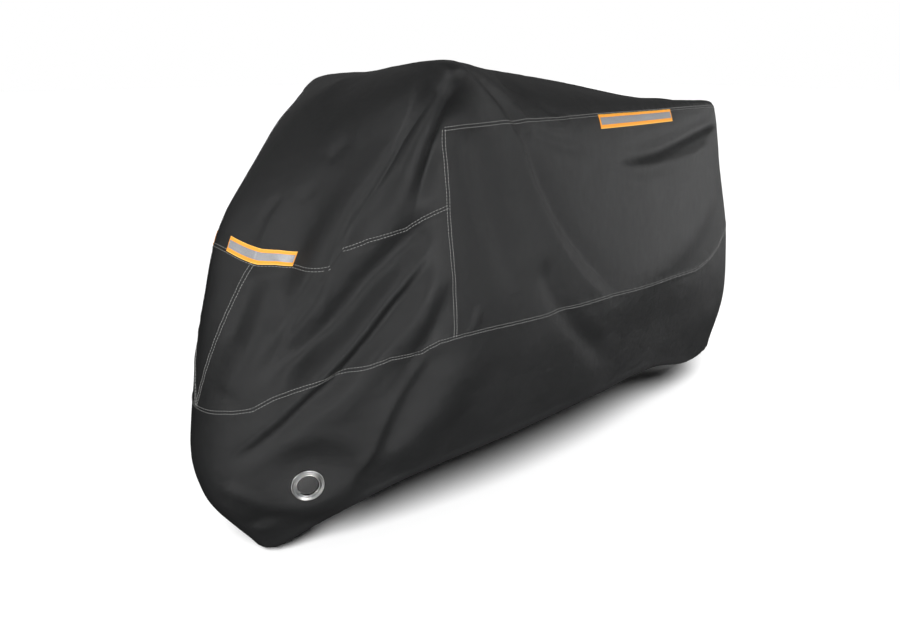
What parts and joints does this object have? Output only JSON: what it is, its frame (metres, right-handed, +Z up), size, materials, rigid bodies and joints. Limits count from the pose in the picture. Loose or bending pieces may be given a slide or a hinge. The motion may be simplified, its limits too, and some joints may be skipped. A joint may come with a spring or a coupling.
{
  "type": "motorcycle cover",
  "caption": "Fitted cloth cover as it hangs over a motorcycle: sewn panels with folds, a drawn-in hem, metal lock eyelets and reflective strips; hollow and open below.",
  "frame": {"origin": "centre of the bounding box in plan, at the level of the hem's lowest point under the nose", "axes": "+X from the covered front wheel to the tail, +Y to the motorcycle's right, +Z up"},
  "size_m": [2.0178, 0.7756, 1.1345],
  "materials": {
    "cloth": "smooth woven polyester, dark charcoal, faint sheen",
    "reflective_tape": "silver reflective tape with an orange border above and below",
    "eyelet_metal": "bright nickel plate, pressed in steps"
  },
  "bodies": {
    "root": {"crown_panel": "cloth", "nose_panel": "cloth", "front_side_left": "cloth", "front_side_right": "cloth", "rear_side_left": "cloth", "rear_side_right": "cloth", "skirt_front": "cloth", "skirt_left": "cloth", "skirt_right": "cloth", "strip_front_left": "reflective_tape", "strip_front_right": "reflective_tape", "strip_rear_left": "reflective_tape", "strip_rear_right": "reflective_tape", "eyelet_left": "eyelet_metal", "eyelet_right": "eyelet_metal"}
  },
  "joints": []
}
